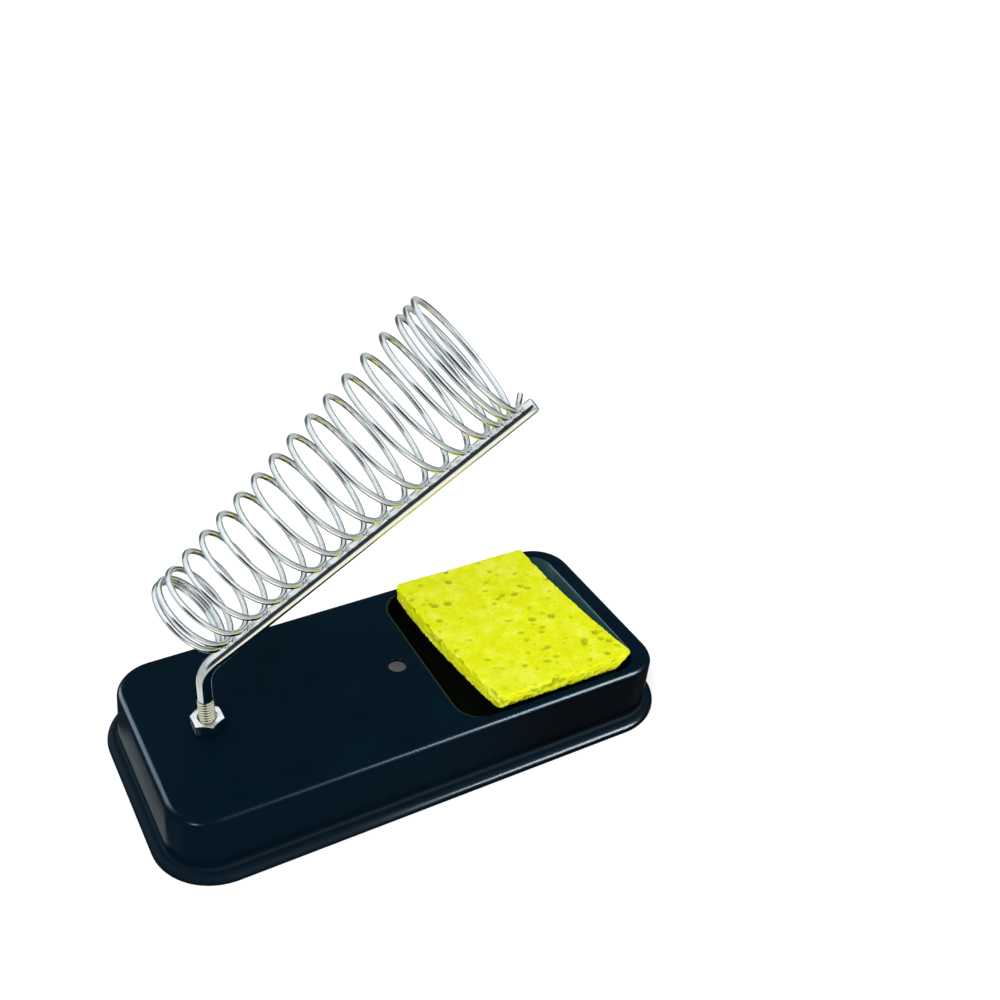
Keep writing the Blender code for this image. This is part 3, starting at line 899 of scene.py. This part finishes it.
def coil_points(turns, stations):
    """Wire centre line at fractional turns; turn 0 is the first turn's top."""
    index = np.arange(len(stations))
    place = np.interp(turns, index, stations)
    place = np.where(turns < 0, stations[0] + turns * CLOSE_PITCH, place)
    last = len(stations) - 1
    place = np.where(turns > last, stations[-1] + (turns - last) * MOUTH_PITCH, place)
    share = (place - stations[0]) / (stations[-1] - stations[0])
    radius = COIL_R_TIP + share * (COIL_R_MOUTH - COIL_R_TIP)
    reach = ROD_R + WIRE_R - WELD_SINK + radius
    a = TAU * turns
    points = LEG_START + np.outer(place, LEG_ALONG) + np.outer(reach, COIL_OUT)
    points += np.outer(radius * np.cos(a), COIL_OUT) - np.outer(radius * np.sin(a), COIL_SIDE)
    points += np.outer(COIL_SHEAR * radius * (1 - np.cos(a)) / 2, LEG_ALONG)
    past_weld = np.clip((turns - COIL_TURNS + 0.5) / COIL_TAIL, 0, None)
    return points + np.outer(TAIL_KICK * past_weld, LEG_ALONG)


def holder_coil(material):
    first, last = -0.5, COIL_TURNS - 0.5 + COIL_TAIL
    turns = np.linspace(first, last, round((last - first) * WIRE_STEPS))
    path = coil_points(turns, coil_stations())
    total = np.linalg.norm(np.diff(path, axis=0), axis=1).sum()

    def radius_at(length, angle):
        from_end = min(length, total - length)
        return WIRE_R - max(0.0, WIRE_END_ROUND - from_end) * WIRE_END_SLOPE

    rings, lengths = swept_rings(path, radius_at, WIRE_SIDES, COIL_OUT)
    mesh = loft_mesh("coil", rings, lengths)
    to_weld = np.abs((turns % 1.0) - 0.5)
    heat = np.clip(1 - to_weld / WELD_HEAT_REACH, 0, 1) ** 1.5
    set_point_attribute(mesh, "heat", np.repeat(heat, WIRE_SIDES))
    mesh.transform(HOLDER_PLACE)
    smooth(mesh, 50.0)
    add_piece("wire_coil", mesh, material, "bright_wire", "holder", "holder_coil")


def weld_nuggets(material):
    """The squeezed-out metal where each turn is spot-welded to the rod."""
    rng = random.Random(NUGGET_SEED)
    bm = bmesh.new()
    turns = np.arange(COIL_TURNS) + 0.5
    out, side = Vector(COIL_OUT), Vector(COIL_SIDE)
    basis = Matrix((LEG_ALONG, COIL_SIDE, COIL_OUT)).transposed().to_4x4()
    for centre in coil_points(turns, coil_stations()):
        contact = Vector(centre) - out * (WIRE_R - WELD_SINK / 2)
        for along in (-1, 1):
            size = Vector(NUGGET_SIZE) * rng.uniform(*NUGGET_GROWTH)
            shift = Vector(LEG_ALONG) * along * NUGGET_OFFSET
            shift += side * rng.uniform(-NUGGET_STRAY, NUGGET_STRAY)
            place = Matrix.Translation(contact + shift - out * NUGGET_SINK) @ basis
            place = place @ Matrix.Diagonal((*size, 1.0))
            made = bmesh.ops.create_icosphere(bm, subdivisions=3, radius=1.0, matrix=place)
            for vert in made["verts"]:
                lump = noise.noise(vert.co * NUGGET_GRAIN) * NUGGET_LUMPS
                vert.co += (vert.co - contact).normalized() * lump
    mesh = mesh_from(bm, "nuggets")
    mesh.uv_layers.new(name="wrap")
    set_point_attribute(mesh, "heat", np.full(len(mesh.vertices), NUGGET_HEAT_AND_SHADE))
    mesh.transform(HOLDER_PLACE)
    mesh.shade_smooth()
    add_piece("spot_welds", mesh, material, "bright_wire", "holder")


# Nuts and washers

def wrap_by_angle(mesh, axis_x):
    """A wrap map of turn and height about an upright axis."""
    layer = mesh.uv_layers.new(name="wrap")
    for loop in mesh.loops:
        co = mesh.vertices[loop.vertex_index].co
        turn = math.atan2(co.y, co.x - axis_x) / TAU
        layer.data[loop.index].uv = (turn, co.z)


def threaded_bore(height, location):
    """Cutter with an internal thread and a countersink at each end."""
    over = 0.4 * MM
    zs = np.arange(-height / 2 - over, height / 2 + over, THREAD_PITCH / 8)
    path = [(0.0, 0.0, z) for z in zs]

    def radius_at(length, angle):
        z = zs[0] + length
        phase = (z / THREAD_PITCH - angle / TAU) % 1.0
        ridge = 2 * abs(phase - 0.5)
        sink = max(0.0, abs(z) - (height / 2 - BORE_COUNTERSINK))
        return BORE_CREST_R + BORE_THREAD_DEPTH * ridge + sink

    rings, lengths = swept_rings(path, radius_at, BORE_SIDES, (1.0, 0.0, 0.0))
    return scratch_object("bore_cutter", loft_mesh("bore_cutter", rings, lengths), location)


def nut_barrel(height, place):
    """The turned shape that chamfers a nut's corners at both ends."""
    inset = 0.1 * MM
    over = 0.3 * MM
    wide = NUT_AF / math.sqrt(3) + over
    slope = math.tan(NUT_CHAMFER)
    rise = (wide - NUT_AF / 2 + inset) * slope
    narrow = NUT_AF / 2 - inset - over / slope
    half = height / 2
    profile = [(0.0, half + over), (narrow, half + over), (wide, half - rise)]
    profile += [(wide, rise - half), (narrow, -half - over), (0.0, -half - over)]
    return turned("barrel", profile, RING_STEPS, place)


def hex_nut(node, piece_name, material):
    low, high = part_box(node)
    height = high.z - low.z
    place = Vector((ROD_X, 0, (low.z + high.z) / 2))
    bm = bmesh.new()
    corner_r = NUT_AF / math.sqrt(3)
    radii = {"radius1": corner_r, "radius2": corner_r}
    bmesh.ops.create_cone(bm, cap_ends=True, segments=6, depth=height, **radii)
    spin = Matrix.Rotation(NUT_TURN + math.pi / 6, 4, "Z")
    bmesh.ops.transform(bm, matrix=spin, verts=bm.verts)
    nut = scratch_object(piece_name + "_blank", mesh_from(bm, piece_name), place)
    barrel = nut_barrel(height, place)
    bore = threaded_bore(height, place)
    cut(nut, barrel, "INTERSECT")
    cut(nut, bore)
    soft = nut.modifiers.new("soft_edges", "BEVEL")
    soft.width = NUT_EDGE
    soft.segments = 2
    soft.limit_method = "ANGLE"
    soft.angle_limit = math.radians(50)
    bpy.context.view_layer.update()
    mesh = baked(nut)
    mesh.transform(Matrix.Translation(place))
    for helper in (barrel, bore):
        bpy.data.objects.remove(helper, do_unlink=True)
    smooth(mesh, 35.0)
    for layer in list(mesh.uv_layers):
        mesh.uv_layers.remove(layer)
    wrap_by_angle(mesh, ROD_X)
    add_piece(piece_name, mesh, material, "zinc_plate", node, node)


def ring_section(inner, outer, thickness, corner):
    """Rounded rectangle section of a washer as (radius, height) points."""
    points = []
    for quarter, (r, z) in enumerate(((outer, 1), (inner, 1), (inner, -1), (outer, -1))):
        centre_r = r - corner if r == outer else r + corner
        centre_z = z * (thickness / 2 - corner)
        for step in range(4):
            a = (quarter + step / 3) * math.pi / 2
            points.append((centre_r + corner * math.cos(a), centre_z + corner * math.sin(a)))
    return points


def washer_piece(node, piece_name, material, gap_angle=0.0, twist=0.0):
    """A washer; with a gap it is a split spring washer whose ends part by the twist."""
    low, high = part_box(node)
    outer = (high.y - low.y) / 2
    thickness = high.z - low.z - twist
    section = ring_section(WASHER_BORE_R, outer, thickness, WASHER_CORNER)
    middle = (low.z + high.z) / 2
    bm = bmesh.new()
    rings = []
    for i in range(RING_STEPS + 1):
        share = i / RING_STEPS
        a = math.pi + gap_angle / 2 + share * (TAU - gap_angle)
        lift = middle + (share - 0.5) * twist
        ring = [(ROD_X + r * math.cos(a), r * math.sin(a), lift + z) for r, z in section]
        rings.append([bm.verts.new(point) for point in ring])
    if not gap_angle:
        for vert in rings.pop():
            bm.verts.remove(vert)
        rings.append(rings[0])
    count = len(section)
    for first, second in zip(rings, rings[1:]):
        for i in range(count):
            j = (i + 1) % count
            bm.faces.new((first[i], first[j], second[j], second[i]))
    if gap_angle:
        bm.faces.new(rings[0])
        bm.faces.new(rings[-1])
    bmesh.ops.recalc_face_normals(bm, faces=bm.faces)
    mesh = mesh_from(bm, piece_name)
    smooth(mesh)
    wrap_by_angle(mesh, ROD_X)
    add_piece(piece_name, mesh, material, "zinc_plate", "washers", node)


# Studio

def studio_floor():
    """A wide bench top just under the stand, left out of reflections."""
    bpy.ops.mesh.primitive_plane_add(size=FLOOR_SIZE, location=(0, 0, -FLOOR_DROP))
    floor = bpy.context.object
    floor.name = "studio_floor"
    floor.data.materials.append(floor_material())
    floor.visible_glossy = False


def sky_patch(nodes, direction, sky, way, inner, outer, colour):
    """Paint a soft round patch on the sky, full inside the inner angle and gone past the outer one."""
    aim = nodes.add("ShaderNodeVectorMath", operation="DOT_PRODUCT")
    nodes.link(direction, aim.inputs[0])
    aim.inputs[1].default_value = Vector(way).normalized()
    edges = (math.cos(math.radians(outer)), math.cos(math.radians(inner)))
    return nodes.mix(nodes.span(aim.outputs["Value"], *edges), sky, colour)


def painted_sky(nodes):
    """What shiny pieces mirror: a bright room with dark gaps and a cream glow from the front."""
    direction = nodes.add("ShaderNodeTexCoord").outputs["Generated"]
    height = nodes.scaled(nodes.split(direction)[2], 0.5, 0.5)
    sky = nodes.ramp(height, [
        (0.20, (0.62, 0.62, 0.56)),
        (0.50, (0.46, 0.52, 0.55)),
        (0.65, (0.84, 0.91, 0.94)),
        (1.00, (1.08, 1.13, 1.14)),
    ])
    sky = sky_patch(nodes, direction, sky, (0.02, -0.76, -0.65), 20, 30, (1.12, 1.08, 0.88))
    sky = sky_patch(nodes, direction, sky, (-0.10, 0.55, -0.83), 22, 42, (0.06, 0.07, 0.08))
    sky = sky_patch(nodes, direction, sky, (0.92, 0.38, 0.00), 12, 28, (0.05, 0.06, 0.07))
    sky = sky_patch(nodes, direction, sky, (0.00, 1.00, 0.02), 10, 26, (0.10, 0.13, 0.13))
    sky = sky_patch(nodes, direction, sky, (-0.62, -0.72, 0.18), 25, 34, (0.03, 0.04, 0.05))
    sky = sky_patch(nodes, direction, sky, (0.55, 0.10, -0.83), 14, 26, (0.10, 0.08, 0.06))
    return sky_patch(nodes, direction, sky, (-0.43, -0.69, 0.58), 10, 20, (0.03, 0.04, 0.06))


def studio_world():
    """White for the eye, soft white for diffuse light, and the painted sky for reflections."""
    world = bpy.data.worlds.new("studio")
    bpy.context.scene.world = world
    world.use_nodes = True
    world.cycles.sampling_method = "NONE"
    tree = world.node_tree
    tree.nodes.clear()
    nodes = Nodes(tree)
    sky = painted_sky(nodes)
    path = nodes.add("ShaderNodeLightPath")
    strength = nodes.scaled(path.outputs["Is Camera Ray"], 1.0 - ROOM_LIGHT, ROOM_LIGHT)
    soft = nodes.add("ShaderNodeBackground")
    nodes.put(soft, Color=(*WHITE, 1.0), Strength=strength)
    mirror = nodes.add("ShaderNodeBackground")
    nodes.put(mirror, Color=sky, Strength=1.0)
    choose = nodes.add("ShaderNodeMixShader")
    nodes.link(path.outputs["Is Glossy Ray"], choose.inputs[0])
    nodes.link(soft.outputs[0], choose.inputs[1])
    nodes.link(mirror.outputs[0], choose.inputs[2])
    output = nodes.add("ShaderNodeOutputWorld")
    nodes.link(choose.outputs[0], output.inputs["Surface"])


def area_light(name, place, target, size, power, glossy=True):
    light = bpy.data.lights.new(name, "AREA")
    light.shape = "RECTANGLE"
    light.size, light.size_y = size
    light.energy = power
    lamp = bpy.data.objects.new(name, light)
    lamp.location = place
    lamp.rotation_mode = "QUATERNION"
    lamp.rotation_quaternion = (Vector(target) - Vector(place)).to_track_quat("-Z", "Y")
    lamp.visible_glossy = glossy
    bpy.context.scene.collection.objects.link(lamp)
    return lamp


def only_lights(lamp, piece):
    """Let a lamp light one piece and nothing else."""
    lit = bpy.data.collections.new("lit_by_" + lamp.name)
    lit.objects.link(piece)
    lamp.light_linking.receiver_collection = lit


def shine_lamp(name, way, size, power, painted):
    """A soft box that only shows as a highlight on the painted base."""
    middle = Vector((0.0, 0.0, DECK_Z))
    place = middle + Vector(way).normalized() * SHINE_REACH
    lamp = area_light(name, place, middle, size, power)
    lamp.visible_diffuse = False
    lamp.data.color = SHINE_TINT
    only_lights(lamp, painted)


def studio_lights(painted):
    """A soft key, a glow seen through the spare hole, the paint's highlights and the sponge's fill."""
    middle = (0.0, 0.0, 0.04)
    area_light("key_top_left", (-0.55, -0.45, 0.85), middle, (0.5, 0.5), 4.0, False)
    below = DECK_Z - 4 * SHEET
    inside = area_light("inside_glow", (SPARE_HOLE_X, 0.012, below), (SPARE_HOLE_X, 0.012, 0.0),
                        (0.02, 0.02), 0.0004, False)
    inside.visible_camera = False
    shine_lamp("shine_top", (0.52, -0.54, 0.66), (0.34, 0.42), 300.0, painted)
    shine_lamp("shine_left", (-0.52, 0.70, 0.46), (0.40, 0.62), 85.0, painted)
    shine_lamp("shine_corner", (-0.73, -0.53, 0.42), (0.16, 0.16), 40.0, painted)
    fill = area_light("sponge_fill", (-0.35, -0.60, 0.16), middle, (0.5, 0.3), 1.5, False)
    only_lights(fill, bpy.data.objects["cellulose_sponge"])


def studio_camera():
    """Aim at the target from the given azimuth, height and distance, rolled a little."""
    a, e = CAMERA_AZIMUTH, CAMERA_ELEVATION
    back = Vector((math.sin(a) * math.cos(e), -math.cos(a) * math.cos(e), math.sin(e)))
    right = Vector((math.cos(a), math.sin(a), 0.0))
    up = back.cross(right)
    turned_right = right * math.cos(CAMERA_ROLL) + up * math.sin(CAMERA_ROLL)
    turned_up = up * math.cos(CAMERA_ROLL) - right * math.sin(CAMERA_ROLL)
    data = bpy.data.cameras.new("camera")
    data.lens = CAMERA_LENS
    data.sensor_width = 36.0
    data.clip_start = 0.01
    data.clip_end = 20.0
    camera = bpy.data.objects.new("camera", data)
    bpy.context.scene.collection.objects.link(camera)
    axes = Matrix((turned_right, turned_up, back)).transposed().to_4x4()
    camera.matrix_world = Matrix.Translation(CAMERA_TARGET + back * CAMERA_DISTANCE) @ axes
    bpy.context.scene.camera = camera


def build_object():
    """Make every visible piece; the painted base is handed back for its own lamps."""
    wire = metal_material("bright_wire", STEEL_LIGHT, (0.79, 0.81, 0.82), 0.05, (60.0, 900.0, 1.0))
    rod_steel = metal_material("bright_rod", (0.86, 0.87, 0.86), (0.77, 0.78, 0.77), 0.05,
                               (90.0, 500.0, 1.0), "crest_gilt_root_shade", THREAD_GILT_AND_SHADE)
    zinc = metal_material("zinc_plate", STEEL_LIGHT, (0.74, 0.76, 0.76), 0.13, (20.0, 3000.0, 1.0))
    painted = base_tray(paint_material())
    sponge(sponge_material())
    support_rod(rod_steel)
    holder_coil(wire)
    weld_nuggets(wire)
    hex_nut("upper_nut", "top_nut", zinc)
    hex_nut("lower_nut", "under_nut", zinc)
    washer_piece("flat_washer", "plain_washer", zinc)
    washer_piece("lock_washer", "spring_washer", zinc, SPRING_GAP, SPRING_TWIST)
    return painted


painted_base = build_object()
studio_floor()
studio_world()
studio_lights(painted_base)
studio_camera()
bpy.context.scene.view_settings.view_transform = "Standard"
